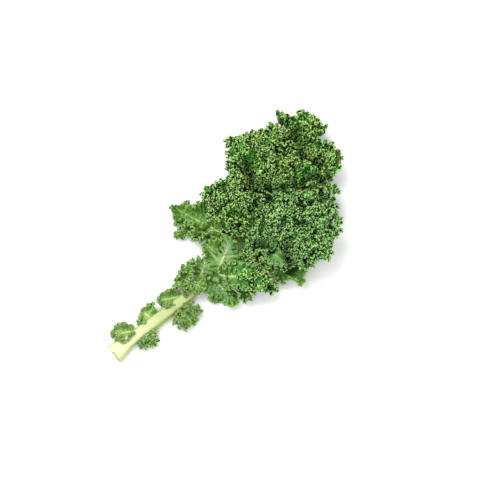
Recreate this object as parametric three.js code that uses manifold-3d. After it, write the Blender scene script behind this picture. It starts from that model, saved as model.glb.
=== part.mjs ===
// A curly kale leaf as picked, lying on its back on a flat surface.
//
// The leaf grew as one organ. It is built as the pieces that differ in colour and that each
// hold together as one body:
//   stalk      the thick pale petiole, with its cut foot, and the midrib that it tapers into,
//   blade      the green lobes on both sides of the midrib, joined by a narrow wing and by the
//              lobe at the tip, each thrown into folds that grow towards its margin,
//   leaflet_*  the five small green leaflets that stand alone on the bare petiole.
//
// Millimetres, +Z up. +X runs from the cut foot to the tip, +Y is the leaf's left side, and
// the origin is the centre of the bounding box, on the surface that the leaf lies on.

import * as THREE from "three";
import { mergeVertices } from "three/addons/utils/BufferGeometryUtils.js";
import Module from "manifold-3d";

const wasm = await Module();
wasm.setup();

// ---- driving dimensions -----------------------------------------------------------------

const STALK_LENGTH = 292; // along its curve, from the cut foot to the end of the midrib
const FOOT_WIDTH = 21; // where the leaf was cut from the stem
const FOOT_LENGTH = 22; // over which the foot narrows to the petiole
const PETIOLE_WIDTH = 13.5;
const PETIOLE_DEPTH = 10.6;
const MIDRIB_END = 2.2; // width and depth where the midrib runs out in the tip lobe
const GROOVE_SHARE = 0.3; // depth of the hollow in the upper face, in half depths
const STALK_STEP = 10; // between its sections
const STALK_SIDES = 14;
const AXIS_HEIGHT = 5; // of the petiole's centre line at the foot, so that its back is flattened

const BLADE_THICKNESS = 0.9;
const RIB_THICKNESS = 2.4; // a lobe along its own rib, at the root
const WING_START = 100; // from the foot
const WING_WIDTH = 6; // the strip of blade beside the midrib that the lobes spring from
const WING_THICKNESS = 1.5;
const WING_SLOPE = 18; // degrees above the horizontal
const CLEARANCE = 0.35; // between the stalk and the green pieces that grow from it

const BLADE_FOLDS = { wave: 26, share: 0.33 }; // length of a fold, and its height over that
const LEAFLET_FOLDS = { wave: 14, share: 0.5 };
const BLADE_ROOT_RISE = 1.5; // of a lobe's root above the stalk's centre line
const LEAFLET_ROOT_RISE = 0.5;
const SHEET_ROWS = [1]; // rows of points from the rib to the margin, in shares of the way
const UNEVENNESS = 0.9; // how far the folds stray from an even spacing, in radians
const TIP_FOLDS = 0.45; // share of its height that a fold has at the lobe's tip
const TIP_REGION = 0.5; // share of the margin to each side of the tip over which it grows to all of it
const COLUMNS_PER_FOLD = 4;
const LEAN = 0.2; // how far a fold leans over along the margin, in fold heights
const TOOTH = 1.8; // how far the margin steps out at every other column

const PRESS_LEVEL = 0.2; // to which the surface flattens what would hang below it
const PRESS_SOFTNESS = 1.2;

const LEAF_GREEN = 0x4f7f38;
const LEAFLET_GREEN = 0x6a9a45;
const STALK_PALE = 0xd3dc9a;

const LEFT = 1;
const RIGHT = -1;

// ---- the lobes --------------------------------------------------------------------------
// name, where its root is along the stalk, side, angle from the midrib to its rib, reach,
// half width, slope of the rib at its root, towards its tip and at its upturned end, how far its
// sides turn up, roll about the rib, how far the rib swings sideways, and how strongly it folds,
// from 0 to 1. Lengths are in mm, and angles in degrees.

const BLADE_LOBES = [
  ["left_1", 104, LEFT, 108, 19, 17, 18, 0, 30, 80, -10, 10, 0.8],
  ["left_2", 142, LEFT, 89, 24, 14, 24, 4, 16, 40, -6, 0, 0.6],
  ["left_3", 167, LEFT, 99, 77, 17, 10, -16, 16, 60, -8, 0, 0.8],
  ["left_4", 184, LEFT, 82, 62, 23, 24, 2, 50, 95, -14, -6, 1],
  ["left_5", 206, LEFT, 72, 51, 22, 28, -4, 55, 100, -14, -8, 1],
  ["left_6", 230, LEFT, 61, 75, 24, 16, -16, 50, 100, -14, -8, 1],
  ["left_7", 252, LEFT, 42, 55, 23, 30, 4, 55, 100, -12, -10, 1],
  ["right_1", 121, RIGHT, 93, 35, 15, 30, -30, -30, 70, 175, 10, 0.9],
  ["right_2", 128, RIGHT, 68, 46, 17, 22, -14, 20, 50, 6, -6, 0.7],
  ["right_3", 158, RIGHT, 69, 76, 15, 16, -14, 14, 50, 8, -8, 0.6],
  ["right_4", 172, RIGHT, 71, 88, 24, 24, -6, 50, 100, 14, 6, 1],
  ["right_5", 190, RIGHT, 66, 87, 25, 28, -8, 55, 100, 14, 8, 1],
  ["right_6", 210, RIGHT, 55, 71, 26, 16, -8, 50, 100, 14, 8, 1],
  ["right_7", 232, RIGHT, 45, 70, 24, 26, -6, 55, 100, 14, 8, 1],
  ["right_8", 254, RIGHT, 39, 58, 21, 28, -2, 55, 100, 12, 10, 1],
  ["inner_1", 184, LEFT, 74, 36, 20, 56, 30, 36, 100, 0, 0, 1],
  ["inner_2", 208, RIGHT, 28, 44, 21, 56, 30, 36, 100, 0, 0, 1],
  ["inner_3", 240, LEFT, 42, 34, 20, 50, 30, 36, 100, 0, 0, 1],
  ["tip", 276, RIGHT, 3, 50, 25, 14, -15, 20, 95, 0, 0, 1],
  ["left_3_low", 167, LEFT, 87, 67, 7, 8, -14, 10, 50, -8, 70, 0.6],
  ["fan", 128, RIGHT, 343, 40, 12, 50, -4, -10, 60, 180, 0, 0.6],
  ["strip", 114, LEFT, 43, 20, 9, 40, 0, -10, 60, 180, -20, 0.6],
  ["shoulder", 112, LEFT, 41, 21, 7, 20, 4, 4, 20, -10, 0, 0.1],
  ["right_2_far", 142, RIGHT, 77, 55, 15, 20, -14, 40, 90, 8, -6, 1],
  ["inner_4", 226, RIGHT, 34, 58, 20, 44, 16, 34, 100, 0, 0, 1],
  ["inner_5", 176, RIGHT, 62, 65, 20, 38, 10, 34, 100, 0, 0, 1],
  ["inner_7", 234, LEFT, 78, 58, 19, 44, 16, 34, 100, 0, 0, 1],
];

const LEAFLETS = [
  ["leaflet_left_1", 29, LEFT, 148, 21, 10, 12, 0, 10, 40, 10, 10, 0.7],
  ["leaflet_left_2", 50, LEFT, 95, 11, 12, 18, 6, 6, 20, -10, 20, 0.4],
  ["leaflet_left_3", 86, LEFT, 153, 22, 9, 15, 0, 0, 30, -10, 4, 0.5],
  ["leaflet_right_1", 36, RIGHT, 99, 12, 8, 0, 0, 20, 90, 10, -10, 0.8],
  ["leaflet_right_2", 77, RIGHT, 81, 21, 13, 0, -6, 20, 70, 0, -10, 0.8],
];

// ---- small helpers ----------------------------------------------------------------------

const UP = new THREE.Vector3(0, 0, 1);
const radians = THREE.MathUtils.degToRad;
const lerp = THREE.MathUtils.lerp;
const clamp = THREE.MathUtils.clamp;
const smoothstep = (x) => THREE.MathUtils.smoothstep(x, 0, 1);

// a + b * k, as a new vector
const along = (a, b, k) => a.clone().addScaledVector(b, k);

// A value between stops [[place, value], ...] at a place.
function between(stops, place) {
  if (place <= stops[0][0]) return stops[0][1];
  for (let i = 1; i < stops.length; i++) {
    const [p0, v0] = stops[i - 1];
    const [p1, v1] = stops[i];
    if (place <= p1) return lerp(v0, v1, (place - p0) / (p1 - p0));
  }
  return stops[stops.length - 1][1];
}

// The same number from 0 to 1 each time for the same pair of keys.
function draw(key, other) {
  const value = Math.sin(key * 12.9898 + other * 78.233) * 43758.5453;
  return value - Math.floor(value);
}

// A smooth uneven wave between about -1 and 1, drawn from a seed.
function wobble(x, seed) {
  const rates = [1, 1.87, 3.13];
  const waves = rates.map((rate, k) => 0.72 ** k * Math.sin(x * rate + 2 * Math.PI * draw(seed, k + 1)));
  return (waves[0] + waves[1] + waves[2]) / 1.9;
}

// Points stepped off along directions given by heading and slope in degrees at each share.
function walk(start, length, steps, heading, slope) {
  const points = [start.clone()];
  const directions = [];
  for (let i = 0; i <= steps; i++) {
    const turn = radians(heading(i / steps));
    const climb = radians(slope(i / steps));
    const flat = Math.cos(climb);
    directions.push(new THREE.Vector3(flat * Math.cos(turn), flat * Math.sin(turn), Math.sin(climb)));
    if (i === 0) continue;
    const middle = directions[i - 1].clone().add(directions[i]).multiplyScalar(0.5);
    points.push(along(points[i - 1], middle, length / steps));
  }
  return { points, directions };
}

// The place and direction at a share of a walk, straight on past its end.
function stop(path, share) {
  const last = path.points.length - 1;
  const place = clamp(share, 0, 1) * last;
  const i = Math.min(Math.floor(place), last - 1);
  const point = path.points[i].clone().lerp(path.points[i + 1], place - i);
  const direction = path.directions[i].clone().lerp(path.directions[i + 1], place - i).normalize();
  return { point, direction };
}

// ---- solids from grids of points --------------------------------------------------------

function solidOf(points, faces) {
  const geometry = new THREE.BufferGeometry();
  geometry.setAttribute("position", new THREE.Float32BufferAttribute(points.flatMap((p) => p.toArray()), 3));
  geometry.setIndex(faces.flat());
  const merged = mergeVertices(geometry, 1e-4);
  const mesh = new wasm.Mesh({
    numProp: 3,
    vertProperties: merged.attributes.position.array,
    triVerts: new Uint32Array(merged.index.array),
  });
  return new wasm.Manifold(mesh);
}

// Rings of points, all as long, closed at both ends by fans round a centre.
function loft(rings) {
  const around = rings[0].length;
  const points = rings.flat();
  const faces = [];
  for (let i = 0; i + 1 < rings.length; i++) {
    for (let j = 0; j < around; j++) {
      const a = i * around + j;
      const b = i * around + ((j + 1) % around);
      faces.push([a, b, b + around], [a, b + around, a + around]);
    }
  }
  for (const [ring, first] of [[0, 0], [rings.length - 1, (rings.length - 1) * around]]) {
    const centre = new THREE.Vector3();
    for (const p of rings[ring]) centre.addScaledVector(p, 1 / around);
    const c = points.push(centre) - 1;
    for (let j = 0; j < around; j++) {
      const a = first + j;
      const b = first + ((j + 1) % around);
      faces.push(ring === 0 ? [c, b, a] : [c, a, b]);
    }
  }
  return solidOf(points, faces);
}

// A sheet given by its middle surface. Both faces are split into triangles alike, so that a
// strongly waved sheet's faces don't cross.
function thicken(points, triangles, thicknesses) {
  const normals = points.map(() => new THREE.Vector3());
  for (const [a, b, c] of triangles) {
    const ab = points[b].clone().sub(points[a]);
    const ac = points[c].clone().sub(points[a]);
    const normal = ab.cross(ac).normalize();
    for (const corner of [a, b, c]) normals[corner].add(normal);
  }
  normals.forEach((n) => n.normalize());
  const above = points.map((p, i) => along(p, normals[i], thicknesses[i] / 2));
  const below = points.map((p, i) => along(p, normals[i], -thicknesses[i] / 2));
  const count = points.length;
  const faces = [];
  const edges = new Map();
  for (const [a, b, c] of triangles) {
    faces.push([a, b, c], [a + count, c + count, b + count]);
    for (const [from, to] of [[a, b], [b, c], [c, a]]) {
      if (!edges.delete(`${to},${from}`)) edges.set(`${from},${to}`, [from, to]);
    }
  }
  for (const [from, to] of edges.values()) {
    faces.push([from, from + count, to + count], [from, to + count, to]);
  }
  return solidOf([...above, ...below], faces);
}

// ---- stalk ------------------------------------------------------------------------------

const HEADINGS = [[0, -12], [0.25, -13], [0.5, -4], [0.75, 9], [1, 24]];
const SLOPES = [[0, 0], [0.25, 0], [0.8, -0.4], [1, -2]];
const MIDRIB = walk(
  new THREE.Vector3(0, 0, AXIS_HEIGHT),
  STALK_LENGTH,
  120,
  (share) => between(HEADINGS, share),
  (share) => between(SLOPES, share),
);

// Half width and half depth of the stalk at a distance from its cut foot.
function stalkHalves(distance) {
  const flare = 1 - smoothstep(distance / FOOT_LENGTH);
  const taper = smoothstep((distance - 45) / (STALK_LENGTH - 45)) ** 0.75;
  const width = lerp(PETIOLE_WIDTH, MIDRIB_END, taper) + flare * (FOOT_WIDTH - PETIOLE_WIDTH);
  const depth = lerp(PETIOLE_DEPTH, MIDRIB_END, taper);
  return [width / 2, depth / 2];
}

// The stalk's section is a flattened oval with a hollow along its upper face.
function stalkRing(distance, grow, around) {
  const { point, direction } = stop(MIDRIB, distance / STALK_LENGTH);
  const left = UP.clone().cross(direction).normalize();
  const upward = direction.clone().cross(left);
  const [halfWidth, halfDepth] = stalkHalves(distance);
  const ring = [];
  for (let j = 0; j < around; j++) {
    const angle = (2 * Math.PI * j) / around;
    const x = Math.cos(angle);
    const hollow = angle < Math.PI ? 1 - GROOVE_SHARE * (1 - x * x) : 1;
    const sideways = along(point, left, x * (halfWidth + grow));
    ring.push(sideways.addScaledVector(upward, Math.sin(angle) * hollow * (halfDepth + grow)));
  }
  return ring;
}

function stalkSolid(grow) {
  const steps = Math.ceil(STALK_LENGTH / STALK_STEP);
  const rings = [];
  for (let i = 0; i <= steps; i++) {
    const share = (i / steps) ** 1.25; // closer together at the foot
    rings.push(stalkRing(share * STALK_LENGTH, grow, STALK_SIDES));
  }
  return loft(rings);
}

// ---- lobes ------------------------------------------------------------------------------

const WRAP = 155; // degrees that a margin runs round its lobe to each side of the tip
const LOBE_CENTRE = 0.52; // along the rib, in reaches
const UPTURN_START = 0.6; // where along its rib a lobe begins to turn up, in reaches
const RIB_SHARE = 0.9; // the rib stops this far along the lobe
const SUB_LOBES = 5;
const SUB_LOBE_DEPTH = 0.1;
const STEP = 0.004; // in theta, for measuring which way the margin runs

function readLobe(row, order, folds, rootRise) {
  const [name, at, side, angle, reach, half] = row;
  const [rootSlope, tipSlope, endSlope, cup, roll, bend, crisp] = row.slice(6);
  const { point, direction } = stop(MIDRIB, at / STALK_LENGTH);
  const left = UP.clone().cross(direction).normalize();
  const [halfWidth] = stalkHalves(at);
  const root = along(point, left, side * Math.max(0, halfWidth - 1.5) * (angle ? 1 : 0));
  root.z += rootRise;
  const heading = THREE.MathUtils.radToDeg(Math.atan2(direction.y, direction.x)) + side * angle;
  const upturn = (t) => (endSlope - tipSlope) * smoothstep((t - UPTURN_START) / (1 - UPTURN_START));
  const slope = (t) => lerp(rootSlope, tipSlope, t) + upturn(t);
  const rib = walk(root, reach, 64, (t) => heading + bend * t, slope);
  const seed = order * 1.37 + 2;
  return { name, seed, rib, reach, half, cup: radians(cup), roll: radians(roll), crisp, folds };
}

// A point of a lobe's plain sheet, and the sheet's normal there, for a share of the way along
// its rib and a signed distance from the rib.
function sheetPoint(lobe, share, sideways) {
  const { point, direction } = stop(lobe.rib, share);
  if (share > 1) point.addScaledVector(direction, (share - 1) * lobe.reach);
  const level = UP.clone().cross(direction).normalize();
  const upright = direction.clone().cross(level);
  const cosRoll = Math.cos(lobe.roll);
  const sinRoll = Math.sin(lobe.roll);
  const across = level.clone().multiplyScalar(cosRoll).addScaledVector(upright, sinRoll);
  const normal = upright.multiplyScalar(cosRoll).addScaledVector(level, -sinRoll);
  const curl = lobe.cup / lobe.half;
  const arc = curl * sideways;
  point.addScaledVector(across, Math.sin(arc) / curl).addScaledVector(normal, (1 - Math.cos(arc)) / curl);
  const facing = normal.multiplyScalar(-Math.cos(arc)).addScaledVector(across, Math.sin(arc));
  return { point, facing };
}

// theta runs round the margin from the root, -1, over the tip, 0, back to the root, 1. out
// runs from the rib, 0, to the margin, 1.
function lobePoint(lobe, theta, out) {
  const turn = theta * radians(WRAP);
  const scallop = 1 + SUB_LOBE_DEPTH * Math.cos(turn * SUB_LOBES + 2 * Math.PI * draw(lobe.seed, 5));
  const marginShare = LOBE_CENTRE + (1 - LOBE_CENTRE) * Math.cos(turn) * scallop;
  const marginOut = lobe.half * Math.sin(turn) * scallop;
  const ribShare = Math.min(RIB_SHARE, RIB_SHARE * (1 - Math.abs(theta)) ** 0.85);
  return sheetPoint(lobe, lerp(ribShare, marginShare, out), marginOut * out);
}

// The columns of points of a lobe, four to each fold of its margin: where each is round the
// margin, how high the fold stands there, and how far it leans along the margin.
function foldStations(lobe) {
  const count = 2400;
  const thetas = [];
  const lengths = [];
  let previous = null;
  for (let i = 0; i < count; i++) {
    const theta = -1 + (2 * i) / (count - 1);
    const { point } = lobePoint(lobe, theta, 1);
    lengths.push(previous ? lengths[i - 1] + point.distanceTo(previous) : 0);
    thetas.push(theta);
    previous = point;
  }
  const total = lengths[count - 1];
  const { wave, share } = lobe.folds;
  const folds = Math.max(2, Math.round(total / wave));
  const offset = 2 * Math.PI * draw(lobe.seed, 3.3);
  const uneven = (s) => UNEVENNESS * wobble((s / wave) * 0.9, lobe.seed);
  const phaseAt = (s) => (2 * Math.PI * folds * s) / total + uneven(s) + offset;
  const turn = (2 * Math.PI) / COLUMNS_PER_FOLD;
  const stations = [];
  let next = Math.ceil(phaseAt(0) / turn);
  for (let i = 0; i < count; i++) {
    if (phaseAt(lengths[i]) < next * turn) continue;
    const full = lobe.crisp * share * wave * (1 + 0.35 * wobble((lengths[i] / wave) * 0.55, lobe.seed + 5));
    const height = full * lerp(TIP_FOLDS, 1, smoothstep(Math.abs(thetas[i]) / TIP_REGION));
    const fold = height * Math.cos(next * turn);
    const lean = LEAN * height * Math.sin(2 * next * turn);
    stations.push({ theta: thetas[i], fold, lean, order: next });
    next += 1;
  }
  return stations;
}

function foldedPoint(lobe, station, out) {
  const { point, facing } = lobePoint(lobe, station.theta, out);
  const ends = smoothstep((1 - Math.abs(station.theta)) / 0.06);
  const weight = smoothstep(out / 0.95) ** 1.1 * ends;
  const before = lobePoint(lobe, Math.max(-1, station.theta - STEP), out).point;
  const after = lobePoint(lobe, Math.min(1, station.theta + STEP), out).point;
  const onward = after.sub(before).normalize();
  const inner = lobePoint(lobe, station.theta, out - 0.1).point;
  const outward = point.clone().sub(inner).normalize();
  point.addScaledVector(facing, station.fold * weight);
  point.addScaledVector(onward, station.lean * weight * weight);
  if (out === 1 && Math.abs(station.order) % 2 === 1) point.addScaledVector(outward, TOOTH);
  return point;
}

// What hangs below the surface is flattened onto it.
function press(point) {
  const height = point.z - PRESS_LEVEL;
  point.z = PRESS_LEVEL + PRESS_SOFTNESS * Math.log1p(Math.exp(height / PRESS_SOFTNESS));
  return point;
}

// One lobe as a folded sheet, thicker along its rib. The columns left and right of the rib are
// paired off, so that they share the rib's own points.
function lobeSolid(lobe, rows) {
  const stations = foldStations(lobe);
  const right = stations.filter((s) => s.theta < 0);
  const left = stations.filter((s) => s.theta >= 0).reverse();
  const pairs = Math.min(right.length, left.length);
  const base = { theta: -1, fold: 0, lean: 0, order: 0 };
  const sides = [
    [base, ...right.slice(0, pairs)],
    [{ ...base, theta: 1 }, ...left.slice(0, pairs)],
  ];
  const points = [];
  const thicknesses = [];
  const add = (point, thickness) => {
    thicknesses.push(thickness);
    return points.push(press(point)) - 1;
  };
  const ribThickness = (share) => lerp(RIB_THICKNESS, BLADE_THICKNESS, share) * (lobe.reach > 40 ? 1 : 0.8);
  const columns = sides.map(() => []);
  for (let k = 0; k <= pairs; k++) {
    const ends = sides.map((side) => lobePoint(lobe, side[k].theta, 0).point);
    const rib = add(ends[0].lerp(ends[1], 0.5), ribThickness(k / pairs));
    sides.forEach((side, which) => {
      const column = [rib];
      for (const out of rows) column.push(add(foldedPoint(lobe, side[k], out), BLADE_THICKNESS));
      columns[which].push(column);
    });
  }
  const triangles = [];
  const quad = (a, b, c, d) => triangles.push([a, b, c], [a, c, d]);
  columns.forEach((side, which) => {
    for (let k = 0; k < pairs; k++) {
      for (let j = 0; j < rows.length; j++) {
        const [a, b, c, d] = [side[k][j], side[k + 1][j], side[k + 1][j + 1], side[k][j + 1]];
        if (which === 0) quad(d, c, b, a);
        else quad(a, b, c, d);
      }
    }
  });
  const [lastRight, lastLeft] = columns.map((side) => side[pairs]);
  for (let j = 0; j < rows.length; j++) {
    if (j === 0) triangles.push([lastRight[0], lastRight[1], lastLeft[1]]);
    else quad(lastRight[j], lastRight[j + 1], lastLeft[j + 1], lastLeft[j]);
  }
  return thicken(points, triangles, thicknesses);
}

// The strip of blade along one side of the midrib.
function wingSolid(side) {
  const steps = 12;
  const slope = radians(WING_SLOPE);
  const points = [];
  const triangles = [];
  for (let i = 0; i <= steps; i++) {
    const distance = lerp(WING_START, STALK_LENGTH - 2, i / steps);
    const { point, direction } = stop(MIDRIB, distance / STALK_LENGTH);
    const left = UP.clone().cross(direction).normalize();
    const [halfWidth] = stalkHalves(distance);
    const outward = left.multiplyScalar(side * Math.cos(slope));
    outward.z = Math.sin(slope);
    point.z += 1;
    points.push(along(point, outward, halfWidth - 1));
    points.push(along(point, outward, halfWidth + WING_WIDTH * smoothstep((i + 1) / 4)));
    if (i === steps) continue;
    const a = 2 * i;
    if (side === LEFT) triangles.push([a, a + 2, a + 3], [a, a + 3, a + 1]);
    else triangles.push([a, a + 3, a + 2], [a, a + 1, a + 3]);
  }
  return thicken(points, triangles, points.map(() => WING_THICKNESS));
}

// ---- assembly ---------------------------------------------------------------------------

const SURFACE = solidBelow();

// A block under the surface that the leaf lies on, for trimming flat what reaches it.
function solidBelow() {
  const box = new THREE.BoxGeometry(800, 800, 40).translate(0, 0, -20);
  box.deleteAttribute("normal");
  box.deleteAttribute("uv");
  const merged = mergeVertices(box);
  const mesh = new wasm.Mesh({
    numProp: 3,
    vertProperties: merged.attributes.position.array,
    triVerts: new Uint32Array(merged.index.array),
  });
  return new wasm.Manifold(mesh);
}

// The largest body of a solid: trimming can leave a loose scrap.
function largestBody(solid) {
  const bodies = solid.decompose().sort((a, b) => b.volume() - a.volume());
  return bodies[0];
}

function meshOf(name, solid, material) {
  const { vertProperties, triVerts } = solid.getMesh();
  const geometry = new THREE.BufferGeometry();
  geometry.setAttribute("position", new THREE.BufferAttribute(vertProperties, 3));
  geometry.setIndex(new THREE.BufferAttribute(triVerts, 1));
  const mesh = new THREE.Mesh(geometry, material);
  mesh.name = name;
  return mesh;
}

const finish = (color, roughness) => new THREE.MeshStandardMaterial({ color, roughness, metalness: 0 });
const leafMaterial = finish(LEAF_GREEN, 0.55);
const leafletMaterial = finish(LEAFLET_GREEN, 0.55);
const stalkMaterial = finish(STALK_PALE, 0.45);

const keepOut = stalkSolid(CLEARANCE);
const stalk = stalkSolid(0).subtract(SURFACE);

const lobeSolids = BLADE_LOBES.map((row, i) => {
  const lobe = readLobe(row, i + LEAFLETS.length, BLADE_FOLDS, BLADE_ROOT_RISE);
  return lobeSolid(lobe, SHEET_ROWS);
});
const wings = [wingSolid(LEFT), wingSolid(RIGHT)];
const joined = wasm.Manifold.union([...lobeSolids, ...wings]);
const blade = largestBody(joined.subtract(keepOut).subtract(SURFACE));

const leaf = new THREE.Group();
leaf.add(meshOf("stalk", stalk, stalkMaterial));
leaf.add(meshOf("blade", blade, leafMaterial));
LEAFLETS.forEach((row, i) => {
  const solid = lobeSolid(readLobe(row, i, LEAFLET_FOLDS, LEAFLET_ROOT_RISE), SHEET_ROWS);
  const trimmed = largestBody(solid.subtract(keepOut).subtract(SURFACE));
  leaf.add(meshOf(row[0], trimmed, leafletMaterial));
});

const box = new THREE.Box3().setFromObject(leaf);
const centre = box.getCenter(new THREE.Vector3());
leaf.position.set(-centre.x, -centre.y, -box.min.z);

export default leaf;
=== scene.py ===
"""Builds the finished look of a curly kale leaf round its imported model.

The leaf lies on its back. A pale stalk runs from its cut foot into the midrib, lobes spring from
both sides of it, and every margin is thrown into folds, ruffles and curls. Lengths in this file
are in millimetres, in the leaf's own plan: +X from the foot along the leaf, +Y to its left, +Z up,
with the middle of the cut foot over the origin.
"""

import math

import bpy
import numpy as np
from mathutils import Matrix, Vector


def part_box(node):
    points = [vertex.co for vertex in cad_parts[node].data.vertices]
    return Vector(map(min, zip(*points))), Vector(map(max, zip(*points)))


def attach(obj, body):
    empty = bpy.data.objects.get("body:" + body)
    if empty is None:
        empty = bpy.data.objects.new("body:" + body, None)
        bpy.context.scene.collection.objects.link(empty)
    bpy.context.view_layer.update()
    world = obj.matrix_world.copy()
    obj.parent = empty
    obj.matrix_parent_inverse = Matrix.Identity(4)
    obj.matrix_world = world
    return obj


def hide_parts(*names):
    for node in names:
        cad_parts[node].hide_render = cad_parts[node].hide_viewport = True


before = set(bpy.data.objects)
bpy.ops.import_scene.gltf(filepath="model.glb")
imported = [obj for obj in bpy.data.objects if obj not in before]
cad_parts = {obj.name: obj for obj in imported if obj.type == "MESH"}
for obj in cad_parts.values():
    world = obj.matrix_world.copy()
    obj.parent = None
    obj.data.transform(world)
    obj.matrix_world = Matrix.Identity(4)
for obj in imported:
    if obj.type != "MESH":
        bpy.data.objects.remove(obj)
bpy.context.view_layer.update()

bl_info = {
    "name": "Curly kale leaf",
    "version": (1, 0, 0),
    "blender": (4, 5, 0),
    "location": "View3D > Sidebar > Kale",
    "description": "Builds a curly kale leaf with its stalk, lobes and leaflets",
    "category": "Add Mesh",
}

MM = 0.001
LEFT = 1
RIGHT = -1

# ---- the stalk's line and section

STALK_LENGTH = 292
FOOT_WIDTH = 21
FOOT_LENGTH = 22
PETIOLE_WIDTH = 13.5
PETIOLE_DEPTH = 10.6
MIDRIB_END = 2.2  # its width and depth where it runs out
GROOVE_SHARE = 0.3  # how far the top of the section is hollowed, in half depths
AXIS_HEIGHT = 5
TAPER_START = 45
TAPER_POWER = 0.75
HEADINGS = ((0, -12), (0.25, -13), (0.5, -4), (0.75, 9), (1, 24))  # degrees, by share of the way
SLOPES = ((0, 0), (0.25, 0), (0.8, -0.4), (1, -2))
MIDRIB_STEPS = 120
SOLID_SIDES = 14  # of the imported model's stalk
SOLID_RINGS = 400
STALK_SIDES = 48
STALK_RINGS = 150
RING_CROWDING = 1.15  # over 1, the rings are closer together by the foot
STALK_LIFT = 0.02  # of what rests on the surface, so that the two don't flicker

# ---- the lobes
# name, where its root is along the stalk, side, angle from the midrib to its rib, reach, half
# width, slope of the rib at its root, towards its tip and at its upturned end, how far its sides
# turn up, roll about the rib, how far the rib swings sideways, how strongly it folds and how
# fresh its green is, from 0 to 1.

BLADE_LOBES = (
    ("left_1", 104, LEFT, 108, 19, 17, 18, 0, 30, 80, -10, 10, 0.8, 0.75),
    ("left_2", 142, LEFT, 89, 24, 14, 24, 4, 16, 40, -6, 0, 0.6, 1),
    ("left_3", 167, LEFT, 99, 77, 17, 10, -16, 16, 60, -8, 0, 0.8, 0.95),
    ("left_4", 184, LEFT, 82, 62, 23, 24, 2, 50, 95, -14, -6, 1, 0.45),
    ("left_5", 206, LEFT, 72, 51, 22, 28, -4, 55, 100, -14, -8, 1, 0.25),
    ("left_6", 230, LEFT, 61, 75, 24, 16, -16, 50, 100, -14, -8, 1, 0.2),
    ("left_7", 252, LEFT, 42, 55, 23, 30, 4, 55, 100, -12, -10, 1, 0.2),
    ("right_1", 121, RIGHT, 93, 35, 15, 30, -30, -30, 70, 175, 10, 0.9, 0.5),
    ("right_2", 128, RIGHT, 68, 46, 17, 22, -14, 20, 50, 6, -6, 0.7, 0.6),
    ("right_3", 158, RIGHT, 69, 76, 15, 16, -14, 14, 50, 8, -8, 0.6, 0.5),
    ("right_4", 172, RIGHT, 71, 88, 24, 24, -6, 50, 100, 14, 6, 1, 0.2),
    ("right_5", 190, RIGHT, 66, 87, 25, 28, -8, 55, 100, 14, 8, 1, 0.1),
    ("right_6", 210, RIGHT, 55, 71, 26, 16, -8, 50, 100, 14, 8, 1, 0.1),
    ("right_7", 232, RIGHT, 45, 70, 24, 26, -6, 55, 100, 14, 8, 1, 0.1),
    ("right_8", 254, RIGHT, 39, 58, 21, 28, -2, 55, 100, 12, 10, 1, 0.2),
    ("inner_1", 184, LEFT, 74, 36, 20, 56, 30, 36, 100, 0, 0, 1, 0.25),
    ("inner_2", 208, RIGHT, 28, 44, 21, 56, 30, 36, 100, 0, 0, 1, 0.1),
    ("inner_3", 240, LEFT, 42, 34, 20, 50, 30, 36, 100, 0, 0, 1, 0.2),
    ("tip", 276, RIGHT, 3, 50, 25, 14, -15, 20, 95, 0, 0, 1, 0.2),
    ("left_3_low", 167, LEFT, 87, 67, 7, 8, -14, 10, 50, -8, 70, 0.6, 0.95),
    ("fan", 128, RIGHT, 343, 40, 12, 50, -4, -10, 60, 180, 0, 0.6, 0.5),
    ("strip", 114, LEFT, 43, 20, 9, 40, 0, -10, 60, 180, -20, 0.6, 0.6),
    ("shoulder", 112, LEFT, 41, 21, 7, 20, 4, 4, 20, -10, 0, 0.1, 1),
    ("right_2_far", 142, RIGHT, 77, 55, 15, 20, -14, 40, 90, 8, -6, 1, 0.4),
    ("inner_4", 226, RIGHT, 34, 58, 20, 44, 16, 34, 100, 0, 0, 1, 0.1),
    ("inner_5", 176, RIGHT, 62, 65, 20, 38, 10, 34, 100, 0, 0, 1, 0.1),
    ("inner_7", 234, LEFT, 78, 58, 19, 44, 16, 34, 100, 0, 0, 1, 0.2),
)

LEAFLETS = (
    ("left_1", 29, LEFT, 148, 21, 10, 12, 0, 10, 40, 10, 10, 0.7, 0.9),
    ("left_2", 50, LEFT, 95, 11, 12, 18, 6, 6, 20, -10, 20, 0.4, 0.7),
    ("left_3", 86, LEFT, 153, 22, 9, 15, 0, 0, 30, -10, 4, 0.5, 0.6),
    ("right_1", 36, RIGHT, 99, 12, 8, 0, 0, 20, 90, 10, -10, 0.8, 0.35),
    ("right_2", 77, RIGHT, 81, 21, 13, 0, -6, 20, 70, 0, -10, 0.8, 0.4),
)

# Small lobes that stand on the large ones: the lobe, the share of its rib where one stands, its
# angle from that rib, reach and half width. Those of the head are crisp and have its green. Those
# below are smooth, and how fresh their green is comes last.

TUFTS = (
    ("right_4", 0.48, -3, 29, 13),
    ("right_4", 0.72, 22, 32, 11),
    ("right_5", 0.5, 31, 24, 13),
    ("right_5", 0.74, 33, 27, 12),
    ("right_6", 0.42, 8, 27, 13),
    ("right_6", 0.72, 23, 28, 12),
    ("right_7", 0.5, -27, 18, 12),
    ("right_7", 0.76, 26, 24, 11),
    ("right_8", 0.45, 37, 16, 12),
    ("tip", 0.4, 18, 17, 13),
    ("tip", 0.66, -58, 18, 12),
    ("left_7", 0.5, 37, 24, 12),
    ("left_6", 0.6, 54, 26, 12),
    ("left_6", 0.66, -3, 21, 12),
    ("left_5", 0.4, 15, 30, 12),
    ("left_4", 0.42, 8, 26, 12),
    ("right_2_far", 0.4, -23, 36, 11),
)
SMOOTH_TUFTS = (
    ("right_2", 0.25, 8, 38, 13, 0.0),
    ("right_4", 0.12, -26, 50, 9, 0.2),
    ("left_1", 0.2, 176, 19, 8, 0.6),
)
TUFT_SHAPE = (48, 12, 40, 90, 0, 0, 1)  # slopes, cup, roll, bend and crispness
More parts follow.
